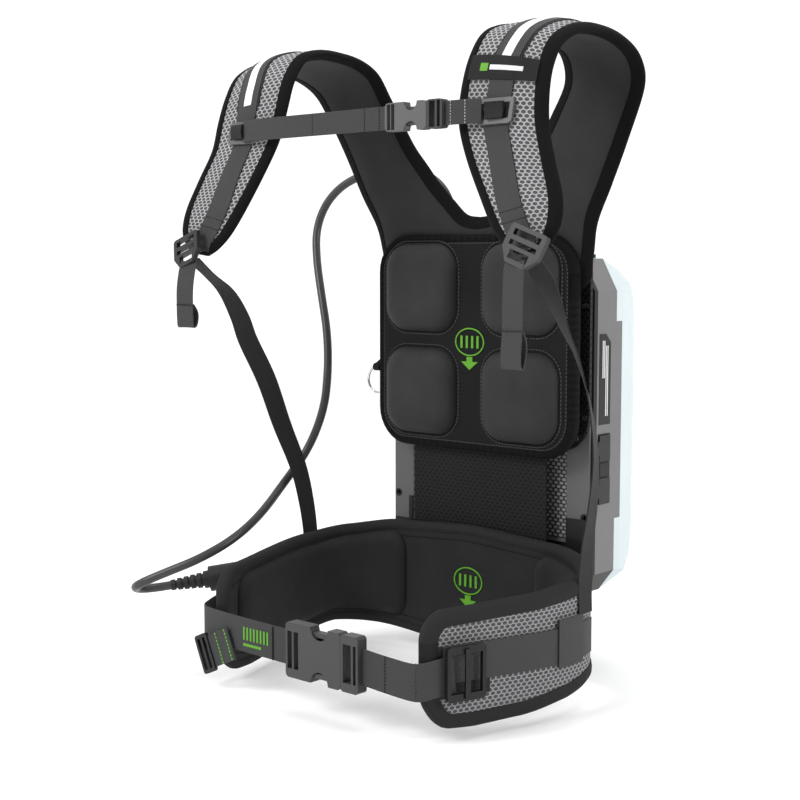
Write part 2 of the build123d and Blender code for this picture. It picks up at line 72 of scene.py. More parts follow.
def linear(hexColour):  # sRGB hex to the linear colour a shader wants
    parts = [int(hexColour[i:i + 2], 16) / 255 for i in (1, 3, 5)]
    return tuple(c / 12.92 if c <= 0.04045 else ((c + 0.055) / 1.055) ** 2.4 for c in parts) + (1,)


def addNode(tree, kind, settings=None, values=None, links=None):
    node = tree.nodes.new(kind)
    for name, value in (settings or {}).items():
        setattr(node, name, value)
    for key, value in (values or {}).items():
        node.inputs[key].default_value = value
    for key, source in (links or {}).items():
        tree.links.new(source, node.inputs[key])
    return node


def startMaterial(name, base, rough, values=None):
    material = bpy.data.materials.new(name)
    material.use_nodes = True
    tree = material.node_tree
    shader = tree.nodes["Principled BSDF"]
    shader.inputs["Base Color"].default_value = linear(base)
    shader.inputs["Roughness"].default_value = rough
    for key, value in (values or {}).items():
        shader.inputs[key].default_value = value
    return material, tree, shader


def tint(tree, shader, factor, low, high):  # blends two colours by a factor
    blend = addNode(tree, "ShaderNodeMix", {"data_type": "RGBA"}, {6: linear(low), 7: linear(high)}, {0: factor})
    tree.links.new(blend.outputs[2], shader.inputs["Base Color"])


def relief(tree, shader, height, depth):  # depth in metres
    bump = addNode(tree, "ShaderNodeBump", None, {"Strength": 1, "Distance": depth}, {"Height": height})
    tree.links.new(bump.outputs[0], shader.inputs["Normal"])


def mouldedPlastic(name, base, light, rough, grain=0.9, depth=0.00004):
    # spark-eroded mould grain: a fine pebble that spreads the highlight; grain is in mm
    material, tree, shader = startMaterial(name, base, rough, {"IOR": 1.5, "Specular IOR Level": 0.32})
    onPart = addNode(tree, "ShaderNodeTexCoord").outputs["Object"]
    pebble = addNode(tree, "ShaderNodeTexNoise", None, {"Scale": 1000 / grain, "Detail": 2}, {"Vector": onPart})
    handled = addNode(tree, "ShaderNodeTexNoise", None, {"Scale": 14, "Detail": 3}, {"Vector": onPart})
    tint(tree, shader, handled.outputs[0], base, light)
    relief(tree, shader, pebble.outputs[0], depth)
    return material


def wovenCloth(name, base, light, rough, thread=1.3, depth=0.00012):
    # polyester cloth over foam, threads about 0.5 mm apart, drawn coarser so that they show
    material, tree, shader = startMaterial(name, base, rough, {
        "Sheen Weight": 0.03, "Sheen Roughness": 0.5, "Specular IOR Level": 0.16})
    onPart = addNode(tree, "ShaderNodeTexCoord").outputs["Object"]
    turned = addNode(tree, "ShaderNodeMapping", None, {"Rotation": (0.5, 0.4, 0.785)}, {"Vector": onPart})
    bands = []
    for direction in ("X", "Y"):
        bands.append(addNode(tree, "ShaderNodeTexWave", {"bands_direction": direction},
                             {"Scale": waveScale / thread, "Distortion": 0.6, "Detail": 1},
                             {"Vector": turned.outputs[0]}))
    weave = addNode(tree, "ShaderNodeMath", {"operation": "MULTIPLY"}, None,
                    {0: bands[0].outputs["Fac"], 1: bands[1].outputs["Fac"]})
    cloud = addNode(tree, "ShaderNodeTexNoise", None, {"Scale": 22, "Detail": 4}, {"Vector": onPart})
    mixed = addNode(tree, "ShaderNodeMath", {"operation": "MULTIPLY_ADD"}, {1: 0.45},
                    {0: weave.outputs[0], 2: cloud.outputs[0]})
    spread = addNode(tree, "ShaderNodeMapRange", None, {"From Min": 0.3, "From Max": 1.0}, {"Value": mixed.outputs[0]})
    tint(tree, shader, spread.outputs[0], base, light)
    relief(tree, shader, weave.outputs[0], depth)
    return material


def twillWebbing(name, base, light, rough=0.72):
    # 1.1 mm polyester webbing in a diagonal twill, ribs 2 mm apart
    material, tree, shader = startMaterial(name, base, rough, {
        "Sheen Weight": 0.04, "Sheen Roughness": 0.4, "Specular IOR Level": 0.3})
    onCloth = addNode(tree, "ShaderNodeTexCoord").outputs["UV"]
    turned = addNode(tree, "ShaderNodeMapping", None, {"Rotation": (0, 0, math.radians(38))}, {"Vector": onCloth})
    ribs = addNode(tree, "ShaderNodeTexWave", None,
                   {"Scale": waveScale / 2, "Distortion": 1.2, "Detail": 2, "Detail Scale": 2},
                   {"Vector": turned.outputs[0]})
    threads = addNode(tree, "ShaderNodeTexNoise", None, {"Scale": 900, "Detail": 2}, {"Vector": onCloth})
    mixed = addNode(tree, "ShaderNodeMath", {"operation": "MULTIPLY_ADD"}, {1: 0.5},
                    {0: threads.outputs[0], 2: ribs.outputs["Fac"]})
    spread = addNode(tree, "ShaderNodeMapRange", None, {"From Min": 0.2, "From Max": 1.3}, {"Value": mixed.outputs[0]})
    tint(tree, shader, spread.outputs[0], base, light)
    relief(tree, shader, ribs.outputs["Fac"], 0.0002)
    return material


def ribbedTape(name, base, light):
    # grosgrain edge tape, folded over the foam's edge; ribs 1.2 mm apart across it
    material, tree, shader = startMaterial(name, base, 0.8, {"Specular IOR Level": 0.08})
    onCloth = addNode(tree, "ShaderNodeTexCoord").outputs["UV"]
    ribs = addNode(tree, "ShaderNodeTexWave", {"bands_direction": "Y"}, {"Scale": waveScale / 1.2, "Distortion": 0.5},
                   {"Vector": onCloth})
    tint(tree, shader, ribs.outputs["Fac"], base, light)
    relief(tree, shader, ribs.outputs["Fac"], 0.00015)
    return material


def hexHoles(tree, coordinate, pitch, row):
    # the distance from the middle of the nearest hole, in six-sided measure
    cells = addNode(tree, "ShaderNodeVectorMath", {"operation": "DIVIDE"}, {1: (pitch, 2 * row, 1)}, {0: coordinate})
    nearest = []
    for shift in (0.0, 0.5):
        moved = addNode(tree, "ShaderNodeVectorMath", {"operation": "ADD"}, {1: (shift, shift, 0)},
                        {0: cells.outputs[0]})
        part = addNode(tree, "ShaderNodeVectorMath", {"operation": "FRACTION"}, None, {0: moved.outputs[0]})
        centred = addNode(tree, "ShaderNodeVectorMath", {"operation": "SUBTRACT"}, {1: (0.5, 0.5, 0)},
                          {0: part.outputs[0]})
        sized = addNode(tree, "ShaderNodeVectorMath", {"operation": "MULTIPLY"}, {1: (row / hexRise, 2 * row, 0)},
                        {0: centred.outputs[0]})
        folded = addNode(tree, "ShaderNodeVectorMath", {"operation": "ABSOLUTE"}, None, {0: sized.outputs[0]})
        sides = addNode(tree, "ShaderNodeSeparateXYZ", None, None, {0: folded.outputs[0]})
        slant = addNode(tree, "ShaderNodeMath", {"operation": "MULTIPLY"}, {1: hexRise}, {0: sides.outputs[1]})
        corner = addNode(tree, "ShaderNodeMath", {"operation": "MULTIPLY_ADD"}, {1: 0.5},
                         {0: sides.outputs[0], 2: slant.outputs[0]})
        nearest.append(addNode(tree, "ShaderNodeMath", {"operation": "MAXIMUM"}, None,
                               {0: sides.outputs[0], 1: corner.outputs[0]}))
    return addNode(tree, "ShaderNodeMath", {"operation": "MINIMUM"}, None,
                   {0: nearest[0].outputs[0], 1: nearest[1].outputs[0]})


def holedSheet(name, web, hole, rough, pitch, row, open, source="UV", depth=0.0005):
    # a sheet with six-sided holes; pitch and row are in metres, open is the share of each cell that is hole
    material, tree, shader = startMaterial(name, web, rough, {"Specular IOR Level": 0.25})
    vector = addNode(tree, "ShaderNodeTexCoord").outputs[source]
    if source == "Object":  # X and Z of the part become the pattern's plane
        turned = addNode(tree, "ShaderNodeMapping", None, {"Rotation": (-math.pi / 2, 0, 0)}, {"Vector": vector})
        vector = turned.outputs[0]
    reach = row / hexRise / 2
    distance = hexHoles(tree, vector, pitch, row)
    mask = addNode(tree, "ShaderNodeMapRange", {"interpolation_type": "SMOOTHSTEP"},
                   {"From Min": reach * (open - 0.07), "From Max": reach * (open + 0.07)},
                   {"Value": distance.outputs[0]})
    tint(tree, shader, mask.outputs[0], hole, web)
    relief(tree, shader, mask.outputs[0], depth)
    return material


print("materials")
foamCloth = wovenCloth("polyester cloth, charcoal, over foam", "#131314", "#1b1b1c", 0.85)
cushionCloth = wovenCloth("polyester cloth, moulded cushion", "#292929", "#353535", 0.7)
harnessCloth = wovenCloth("polyester cloth, harness lining", "#2a2a2b", "#343435", 0.75)
beltCloth = wovenCloth("polyester cloth, belt lining", "#202021", "#29292a", 0.78)
blackTape = ribbedTape("grosgrain tape, black", "#0d0d0e", "#151516")
greyTape = ribbedTape("grosgrain tape, charcoal", "#252526", "#2f2f30")
webbing = twillWebbing("twill webbing, charcoal", "#2c2c2d", "#414142")
darkWebbing = twillWebbing("twill webbing, black", "#111112", "#1d1d1e")
strapMesh = holedSheet("spacer mesh, strap", "#a9a9ab", "#4a4a4b", 0.75, 0.0078, 0.0043, 0.74)
beltMesh = holedSheet("spacer mesh, belt", "#8f8f91", "#464647", 0.75, 0.0072, 0.0041, 0.74)
grilleMesh = holedSheet("ABS grille with hexagonal holes", "#2a2a2b", "#868687", 0.5, 0.0078, 0.0045, 0.70, "Object")
carrierMesh = holedSheet("ABS carrier with hexagonal holes", "#1b1b1c", "#060606", 0.5, 0.0078, 0.0045, 0.66, "Object")
flapMesh = holedSheet("knitted mesh, black", "#1b1b1c", "#040404", 0.7, 0.0078, 0.0045, 0.66, "Object")
blackAbs = mouldedPlastic("ABS, black", "#0e0e0f", "#151516", 0.45)
plateAbs = mouldedPlastic("ABS, plate grey", "#595959", "#606061", 0.45)
bandAbs = mouldedPlastic("ABS, band grey", "#676768", "#6f6f70", 0.42)
shellAbs = mouldedPlastic("ABS, pale blue-grey shell", "#c2cccf", "#c9d3d6", 0.5)
buckleAcetal = mouldedPlastic("acetal, mid grey", "#575758", "#606061", 0.42)
darkAcetal = mouldedPlastic("acetal, dark grey", "#1d1d1e", "#262627", 0.42)
hipAcetal = mouldedPlastic("acetal, hip buckle grey", "#373738", "#414142", 0.4)
plugRubber = mouldedPlastic("moulded rubber, charcoal", "#1c1c1d", "#252526", 0.55)
cableJacket = mouldedPlastic("PVC jacket, charcoal", "#38383a", "#404042", 0.34, 2.0, 0.00002)
greenInk = mouldedPlastic("screen ink, green", "#559622", "#5ea028", 0.6)
greenThread = mouldedPlastic("sewing thread, green", "#62a828", "#78c03c", 0.7)
blackThread = mouldedPlastic("sewing thread, black", "#0b0b0c", "#151516", 0.8)
seamThread = mouldedPlastic("sewing thread, charcoal", "#3c3c3d", "#48484a", 0.8)
paleThread = mouldedPlastic("sewing thread, pale grey", "#a5a5a6", "#bbbbbc", 0.8)
reflectiveTape = mouldedPlastic("glass-bead reflective tape", "#eeeef0", "#fbfbfd", 0.3, 0.4)
patchWeave = wovenCloth("damask patch, black", "#1c1c1d", "#242425", 0.8)
labelFilm = mouldedPlastic("polyester label film, black", "#161617", "#1c1c1d", 0.35)
paleInk = mouldedPlastic("screen ink, pale", "#cfcfd0", "#dededf", 0.6)
boardResin = mouldedPlastic("epoxy circuit board, green", "#1d5a35", "#23683e", 0.4)
cellWrap = mouldedPlastic("PVC shrink wrap, blue", "#2f6f8f", "#357a9c", 0.35)


def brushedMetal(name, base, rough):
    # drawn and plated steel: fine scratches along the draw blur the reflection
    material, tree, shader = startMaterial(name, base, rough, {"Metallic": 1})
    onPart = addNode(tree, "ShaderNodeTexCoord").outputs["Object"]
    drawn = addNode(tree, "ShaderNodeMapping", None, {"Scale": (60, 900, 900)}, {"Vector": onPart})
    scratch = addNode(tree, "ShaderNodeTexNoise", None, {"Scale": 1, "Detail": 3}, {"Vector": drawn.outputs[0]})
    spread = addNode(tree, "ShaderNodeMapRange", None, {"To Min": rough * 0.7, "To Max": rough * 1.4},
                     {"Value": scratch.outputs[0]})
    tree.links.new(spread.outputs[0], shader.inputs["Roughness"])
    return material


zincSteel = brushedMetal("zinc-plated steel", "#b9bbbd", 0.35)
nickelSteel = brushedMetal("nickel-plated steel wire", "#d5d6d8", 0.16)

finishes = {
    "front_chassis": blackAbs, "side_bands": bandAbs, "back_shell": shellAbs, "front_plate": plateAbs,
    "vent_grille": grilleMesh, "plate_screws": zincSteel, "carrier_screws": zincSteel, "carry_handle": blackAbs,
    "control_panel": blackAbs, "usb_cover": darkAcetal, "aux_cover": darkAcetal, "power_button": blackAbs,
    "port_sockets": zincSteel, "rating_label": labelFilm, "cells": cellWrap, "cell_holders": blackAbs,
    "bus_bars": nickelSteel, "battery_board": boardResin, "port_board": boardResin, "lumbar_bracket": blackAbs,
    "pad_carrier": carrierMesh, "mesh_flap": flapMesh, "chest_sliders": buckleAcetal,
    "chest_buckle_female": buckleAcetal, "chest_buckle_male": hipAcetal, "ladder_lock_left": darkAcetal,
    "ladder_lock_right": darkAcetal, "hip_adjuster": blackAbs, "hip_buckle_female": hipAcetal,
    "hip_buckle_male": hipAcetal, "hip_loop": blackAbs, "lanyard_ring": nickelSteel, "cable_gland": blackAbs,
    "strain_relief": plugRubber, "plug": plugRubber,
}
for name, material in finishes.items():
    mesh = cadNodes[name].data
    mesh.materials.clear()
    mesh.materials.append(material)


# shapes, given in millimetres and stored in metres

def makeObject(name, points, faces, materials, faceSlots=None, coordinates=None):
    mesh = bpy.data.meshes.new(name)
    mesh.from_pydata([Vector(p) / 1000 for p in points], [], faces)
    if faceSlots:
        mesh.polygons.foreach_set("material_index", faceSlots)
    if coordinates:
        layer = mesh.uv_layers.new(name="cloth")
        for loop in mesh.loops:
            layer.data[loop.index].uv = coordinates[loop.vertex_index]
    work = bmesh.new()
    work.from_mesh(mesh)
    bmesh.ops.remove_doubles(work, verts=work.verts, dist=0.00002)
    bmesh.ops.recalc_face_normals(work, faces=work.faces)
    work.to_mesh(mesh)
    work.free()
    mesh.shade_smooth()
    mesh.set_sharp_from_angle(angle=math.radians(50))
    for material in materials if isinstance(materials, list) else [materials]:
        mesh.materials.append(material)
    piece = bpy.data.objects.new(name, mesh)
    bpy.context.collection.objects.link(piece)
    return piece


def loft(name, loops, materials, slotOf=None, coordinates=None, capped=True, endless=False):
    # joins closed loops of points, and caps both ends or joins the last loop to the first
    count = len(loops[0])
    points = [p for loop in loops for p in loop]
    faces, slots = [], []
    for r in range(len(loops) if endless else len(loops) - 1):
        q = (r + 1) % len(loops)
        for c in range(count):
            d = (c + 1) % count
            faces.append((r * count + c, r * count + d, q * count + d, q * count + c))
            slots.append(slotOf(r, c) if slotOf else 0)
    if capped and not endless:
        faces.append(tuple(range(count)))
        faces.append(tuple((len(loops) - 1) * count + c for c in range(count)))
        slots += [0, 0]
    flat = [uv for loop in coordinates for uv in loop] if coordinates else None
    return makeObject(name, points, faces, materials, slots if slotOf else None, flat)


def smoothLine(knots, at):
    # a point on the curve through all knots; at counts knots
    i = min(max(int(math.floor(at)), 0), len(knots) - 2)
    t = at - i
    p = [Vector(knots[min(max(k, 0), len(knots) - 1)]) for k in (i - 1, i, i + 1, i + 2)]
    return 0.5 * ((2 * p[1]) + (p[2] - p[0]) * t + (2 * p[0] - 5 * p[1] + 4 * p[2] - p[3]) * t * t
                  + (3 * p[1] - p[0] - 3 * p[2] + p[3]) * t ** 3)


# webbing cut across: shares of half its width and of its thickness
webSection = [(-1, 0), (-0.97, 0.5), (-0.6, 0.5), (0, 0.5), (0.6, 0.5), (0.97, 0.5), (1, 0),
              (0.97, -0.5), (0.6, -0.5), (0, -0.5), (-0.6, -0.5), (-0.97, -0.5)]


def ribbon(name, middle, across, width, thick, material, steps=8, bulge=0.0):
    # webbing through the middle points, lying along the across directions, with rounded edges
    spots = [i / steps for i in range((len(middle) - 1) * steps + 1)]
    centres = [smoothLine(middle, t) for t in spots]
    widths = [smoothLine(across, t).normalized() for t in spots]
    loops, coordinates, run = [], [], 0.0
    for i, (centre, side) in enumerate(zip(centres, widths)):
        before, after = centres[max(i - 1, 0)], centres[min(i + 1, len(centres) - 1)]
        way = (after - before).normalized()
        side = (side - way * side.dot(way)).normalized()
        out = side.cross(way).normalized()
        run += (centre - centres[i - 1]).length / 1000 if i else 0
        loop, marks = [], []
        for a, b in webSection:
            loop.append(centre + side * (a * width / 2) + out * (b * thick + bulge * (1 - a * a)))
            marks.append((a * width / 2000, run))
        loops.append(loop)
        coordinates.append(marks)
    return loft(name, loops, material, None, coordinates)


def place(piece, body, *stands, slot):
    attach(piece, body)
    stands = [node for node in stands if node]
    if stands:
        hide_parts(*stands)


def placeBending(piece, stands):
    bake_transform(piece)
    if stands:
        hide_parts(stands)


def sided(name, mirrored):
    return name + ("Right" if mirrored else "Left")


def onSide(points, mirrored):  # pieces are drawn on the wearer's left, and mirrored for the right
    return [(-p[0], p[1], p[2]) for p in points] if mirrored else points


# stitches: one tree that lays dashes along a line

def makeDashTree():
    tree = bpy.data.node_groups.new("dashesAlongLine", "GeometryNodeTree")
    for kind, name, default in (("Geometry", "Line", None), ("Float", "Spacing", 0.003), ("Float", "Dash", 0.002),
                                ("Float", "Width", 0.0008), ("Material", "Thread", None)):
        socket = tree.interface.new_socket(name, in_out="INPUT", socket_type="NodeSocket" + kind)
        if default:
            socket.default_value = default
    tree.interface.new_socket("Stitches", in_out="OUTPUT", socket_type="NodeSocketGeometry")
    inputs = tree.nodes.new("NodeGroupInput")
    spots = addNode(tree, "GeometryNodeCurveToPoints", {"mode": "LENGTH"}, None,
                    {"Curve": inputs.outputs["Line"], "Length": inputs.outputs["Spacing"]})
    size = addNode(tree, "ShaderNodeCombineXYZ", None, None,
                   {0: inputs.outputs["Width"], 1: inputs.outputs["Width"], 2: inputs.outputs["Dash"]})
    dash = addNode(tree, "GeometryNodeMeshCube", None, None, {"Size": size.outputs[0]})
    laid = addNode(tree, "GeometryNodeInstanceOnPoints", None, None,
                   {"Points": spots.outputs["Points"], "Instance": dash.outputs["Mesh"],
                    "Rotation": spots.outputs["Rotation"]})
    real = addNode(tree, "GeometryNodeRealizeInstances", None, None, {"Geometry": laid.outputs[0]})
    threaded = addNode(tree, "GeometryNodeSetMaterial", None, None,
                       {"Geometry": real.outputs[0], "Material": inputs.outputs["Thread"]})
    out = tree.nodes.new("NodeGroupOutput")
    tree.links.new(threaded.outputs[0], out.inputs[0])
    return tree


dashTree = makeDashTree()
seams = {}  # body and thread to the list of lines sewn in it


def sew(body, thread, points, spacing=3.2, dash=2.0, width=0.8, closed=False):
    seams.setdefault((body, thread.name, spacing, dash, width), []).append((points, closed))


def sewAll():
    for number, ((body, threadName, spacing, dash, width), lines) in enumerate(seams.items()):
        curve = bpy.data.curves.new(f"seam{number}", "CURVE")
        curve.dimensions = "3D"
        for points, closed in lines:
            spline = curve.splines.new("POLY")
            spline.points.add(len(points) - 1)
            for spot, p in zip(spline.points, points):
                spot.co = (p[0] / 1000, p[1] / 1000, p[2] / 1000, 1)
            spline.use_cyclic_u = closed
        source = bpy.data.objects.new(f"seam{number}", curve)
        bpy.context.collection.objects.link(source)
        modifier = source.modifiers.new("dashes", "NODES")
        modifier.node_group = dashTree
        wanted = {"Spacing": spacing / 1000, "Dash": dash / 1000, "Width": width / 1000,
                  "Thread": bpy.data.materials[threadName]}
        for item in dashTree.interface.items_tree:
            if item.name in wanted:
                modifier[item.identifier] = wanted[item.name]
        graph = bpy.context.evaluated_depsgraph_get()
        mesh = bpy.data.meshes.new_from_object(source.evaluated_get(graph))
        bpy.data.objects.remove(source)
        piece = bpy.data.objects.new(f"stitches_{number}", mesh)
        bpy.context.collection.objects.link(piece)
        slot = "stitch_green" if "green" in threadName else "webbing"
        if body in ("hip_buckle_male", "chest_buckle_male"):
            placeBending(piece, None)
        else:
            place(piece, body, slot=slot)


# harness: one lined foam form from the yoke over each shoulder to the tip

harness = {"edge": 6.0, "middle": 12.5, "tape": 11, "tapeThick": 0.9, "perKnot": 6, "meshFrom": 8.4}
innerEdge = [(0, 22, 147), (22, 22, 151), (42, 20, 169), (64, 17, 192), (82, 14, 215), (99, 12, 236), (116, 11, 262),
             (137, 8, 299), (143, -10, 330), (141, -40, 343), (138, -75, 347), (136, -112, 347), (135, -146, 337),
             (135, -168, 310), (135, -181, 274), (139, -189, 240), (156, -197, 202), (183, -205, 157),
             (203, -211, 128), (222, -215, 111), (238, -216.5, 104.5)]
outerEdge = [(0, 26, 60), (80, 26, 60), (150, 26, 70), (160, 26, 104), (168, 22, 142), (189, 17, 182), (213, 13, 232),
             (239, 4, 286), (246, -14, 315), (248, -45, 331), (248, -85, 338), (247, -125, 335), (244, -158, 319),
             (243, -175, 294), (245, -185, 264), (250, -191, 230), (264, -200, 196), (279, -208, 160),
             (281, -213, 134), (272, -215, 116), (258, -216.5, 106.5)]
crownKnots = [0, 0, 0, 0, 1, 2, 3, 3, 5, 6, 7, 7, 7, 6, 4, 3, 3, 3, 2, 1, 0]
harnessSpots = [i / harness["perKnot"] for i in range((len(innerEdge) - 1) * harness["perKnot"] + 1)]


def harnessAt(s, v, lift=0.0):
    # v runs from the neck edge to the arm edge; lift counts away from the wearer
    a, b = smoothLine(innerEdge, s), smoothLine(outerEdge, s)
    step = 0.05
    a2, b2 = smoothLine(innerEdge, s + step), smoothLine(outerEdge, s + step)
    if s + step > len(innerEdge) - 1:
        a2, b2 = 2 * a - smoothLine(innerEdge, s - step), 2 * b - smoothLine(outerEdge, s - step)
    way = ((a2 + b2) - (a + b)).normalized()
    side = (b - a).normalized()
    out = way.cross(side).normalized()
    i = min(int(s), len(crownKnots) - 2)
    crown = crownKnots[i] + (crownKnots[i + 1] - crownKnots[i]) * (s - i)
    point = a + (b - a) * v + out * (crown * 4 * v * (1 - v) + lift)
    if s == 0:  # both halves meet in the middle plane
        point.x = 0
    return point


def harnessWidth(s):
    return (smoothLine(outerEdge, s) - smoothLine(innerEdge, s)).length


def foamDepth(v):
    return harness["edge"] + (harness["middle"] - harness["edge"]) * (1 - abs(2 * v - 1) ** 5)


def harnessSide(mirrored):
    across = [0, 0.03, 0.08, 0.15, 0.25, 0.35, 0.45, 0.55, 0.65, 0.75, 0.85, 0.92, 0.97, 1]
    loops, coordinates, run, last = [], [], 0.0, None
    for s in harnessSpots:
        width = harnessWidth(s)
        middle = harnessAt(s, 0.5)
        run += (middle - last).length / 1000 if last else 0
        last = middle
        loop = [harnessAt(s, v) for v in across]
        loop.append(harnessAt(s, 1 + 2.5 / width, -harness["edge"] / 2))
        loop += [harnessAt(s, v, -foamDepth(v)) for v in reversed(across)]
        loop.append(harnessAt(s, -2.5 / width, -harness["edge"] / 2))
        marks = [((v - 0.5) * width / 1000, run) for v in across + [1] + across[::-1] + [0]]
        loops.append(onSide(loop, mirrored))
        coordinates.append(marks)

    def cover(r, c):  # mesh on the front of the strap, lining elsewhere
        return 1 if c < len(across) - 1 and harnessSpots[r] >= harness["meshFrom"] else 0
    return loft(sided("harnessFoam", mirrored), loops, [harnessCloth, strapMesh], cover, coordinates)


def tapeSide(mirrored, armEdge):
    thick, edge = harness["tapeThick"], harness["edge"]
    loops, coordinates, run, last = [], [], 0.0, None
    for s in harnessSpots:
        width = harnessWidth(s)
        reach = min(harness["tape"], width * 0.5)
        depth = foamDepth(reach / width)
        ring = [(reach, 0.2), (reach, thick), (reach * 0.7, thick + 0.7), (3, thick + 0.6), (0, thick - 0.4),
                (-2.6, -1.2), (-3.4, -edge / 2), (-2.6, -edge + 1.2), (0, -edge - thick + 0.3),
                (3, -edge - thick - 1.0), (reach * 0.7, -foamDepth(reach * 0.7 / width) - thick),
                (reach, -depth - thick), (reach, -depth + 0.5), (3, -edge / 2)]
        loop = [harnessAt(s, 1 - inset / width if armEdge else inset / width, lift) for inset, lift in ring]
        middle = loop[6]
        run += (middle - last).length / 1000 if last else 0
        last = middle
        loops.append(onSide(loop, mirrored))
        coordinates.append([(k * 0.002, run) for k in range(len(ring))])
    return loft(sided("harnessTape" + ("Arm" if armEdge else "Neck"), mirrored), loops, blackTape, None, coordinates)


def shareAcross(s, x):  # how far across the harness the given X lies
    a, b = smoothLine(innerEdge, s), smoothLine(outerEdge, s)
    return (x - a.x) / (b.x - a.x)


def harnessStrip(name, middle, width, lift, thick, material, mirrored, first, last, steps=60):
    # a strip on the front of the strap; middle gives its X for a place s along the harness
    loops, coordinates, run, before = [], [], 0.0, None
    for i in range(steps + 1):
        s = first + (last - first) * i / steps
        v = shareAcross(s, middle(s))
        half = width / 2 / harnessWidth(s)
        points = [(v - half, 0), (v - half, 1), (v - half * 0.5, 1), (v, 1), (v + half * 0.5, 1), (v + half, 1),
                  (v + half, 0), (v, 0)]
        loop = [harnessAt(s, x, lift + thick * up) for x, up in points]
        centre = loop[3]
        run += (centre - before).length / 1000 if before else 0
        before = centre
        loops.append(onSide(loop, mirrored))
        coordinates.append([((x - v) * harnessWidth(s) / 1000, run) for x, up in points])
    return loft(name, loops, material, None, coordinates)


def webMiddle(s):
    knots = [(9, 194), (11, 200), (12.3, 197), (13, 192.5), (14.2, 191), (15.2, 192), (17.6, 228), (18.6, 242),
             (20, 248)]
    for (s0, x0), (s1, x1) in zip(knots, knots[1:]):
        if s <= s1:
            return x0 + (x1 - x0) * max(0, s - s0) / (s1 - s0)
    return knots[-1][1]


print("harness")
for mirrored in (False, True):
    foam = harnessSide(mirrored)
    place(foam, "harness", "strap_right" if mirrored else "strap_left", None if mirrored else "yoke",
          slot="mesh_honeycomb")
    for armEdge in (False, True):
        place(tapeSide(mirrored, armEdge), "harness", slot="binding")
    web = harnessStrip(sided("strapWeb", mirrored), webMiddle, 32, 0.6, 1.2, webbing, mirrored, 8.6, 19.4, 90)
    place(web, "harness", None if mirrored else "strap_webs", slot="webbing")
    base = harnessStrip(sided("strapWebBase", mirrored), webMiddle, 38, 0.3, 0.7, darkWebbing, mirrored,
                        8.6, 13.8 if mirrored else 13.4)
    place(base, "harness", slot="webbing")
    stripe = harnessStrip(sided("stripe", mirrored), lambda s: webMiddle(s) - 0.5, 12, 1.8, 0.4, reflectiveTape,
                          mirrored, 9.0, 13.7 if mirrored else 13.05)
    place(stripe, "harness", None if mirrored else "stripes", slot="reflective")
    for s in (17.35, 17.75):
        v, half = shareAcross(s, webMiddle(s)), 14 / harnessWidth(s)
        line = [harnessAt(s + 0.07, v - half, 2.0), harnessAt(s - 0.07, v + half, 2.0)]
        sew("harness", blackThread, onSide(line, mirrored), 3.4, 2.0, 0.8)

patch = harnessStrip("strapPatch", lambda s: 189.5, 92, 2.3, 0.8, patchWeave, False, 13.02, 13.72, 12)
place(patch, "harness", "strap_patch", slot="patch_weave")
mark = harnessStrip("patchMark", lambda s: 196, 44, 3.1, 0.3, paleInk, False, 13.31, 13.45, 4)
place(mark, "harness", slot="reflective")
accent = harnessStrip("patchAccent", lambda s: 166, 11, 3.1, 0.3, greenInk, False, 13.27, 13.49, 4)
place(accent, "harness", slot="print_green")


# padded shapes: rings that step inwards from a rounded outline

def roundedOutline(halfU, halfV, corner, inset, perCorner=9, perSide=6):
    u, v = max(halfU - inset, 0.4), max(halfV - inset, 0.4)
    r = min(max(corner - inset, 0.5), u - 0.05, v - 0.05)
    points = []
    for k, (cu, cv) in enumerate(((u - r, v - r), (-(u - r), v - r), (-(u - r), -(v - r)), (u - r, -(v - r)))):
        for i in range(perCorner):
            angle = math.radians(90 * k + 90 * i / (perCorner - 1))
            points.append((cu + r * math.cos(angle), cv + r * math.sin(angle)))
        nextU, nextV = ((-(u - r), v), (-u, -(v - r)), (u - r, -v), (u, v - r))[k]
        lastU, lastV = points[-1]
        for i in range(1, perSide):
            points.append((lastU + (nextU - lastU) * i / perSide, lastV + (nextV - lastV) * i / perSide))
    return points


def cushion(name, spot, halfU, halfV, corner, height, shoulder, material, base=1.5, crown=1.5, perSide=10):
    # spot(u, v, lift) puts a point of the flat pattern on the pad; the top is crowned and the sides roll under
    insets = [0, -0.6, -0.4, 0.3, 1.2, 2.6, 4.4, 6.8, 9.5, 12.5, 16, 20]
    while insets[-1] < min(halfU, halfV) - 6:
        insets.append(insets[-1] + 6)
    insets.append(min(halfU, halfV))
    rows = [(inset, -base) for inset in reversed(insets)]
    for inset in insets[1:]:
        t = min(max(inset + 0.6, 0) / shoulder, 1)
        fullness = min(max(inset, 0) / min(halfU, halfV), 1) ** 0.7
        rows.append((inset, (height - crown) * math.sqrt(1 - (1 - t) ** 2) + crown * fullness))
    loops, coordinates = [], []
    for inset, lift in rows:
        outline = roundedOutline(halfU, halfV, corner, inset, 9, perSide)
        if inset == insets[-1]:  # the innermost ring closes up along the middle line
            outline = [(u, 0) for u, v in outline] if halfU > halfV else [(0, v) for u, v in outline]
        loops.append([spot(u, v, lift) for u, v in outline])
        coordinates.append([(u / 1000, v / 1000) for u, v in outline])
    return loft(name, loops, material, None, coordinates, False)


print("back pad")
padPanel = {"half": 152, "top": 128, "bottom": -134, "corner": 45}
padMiddle = (padPanel["top"] + padPanel["bottom"]) / 2
padHalfZ = (padPanel["top"] - padPanel["bottom"]) / 2


def padSpot(u, v, lift):
    return (u, -lift, padMiddle + v)


def padRing(inset, lift):
    return [padSpot(u, v, lift) for u, v in roundedOutline(padPanel["half"], padHalfZ, padPanel["corner"], inset)]


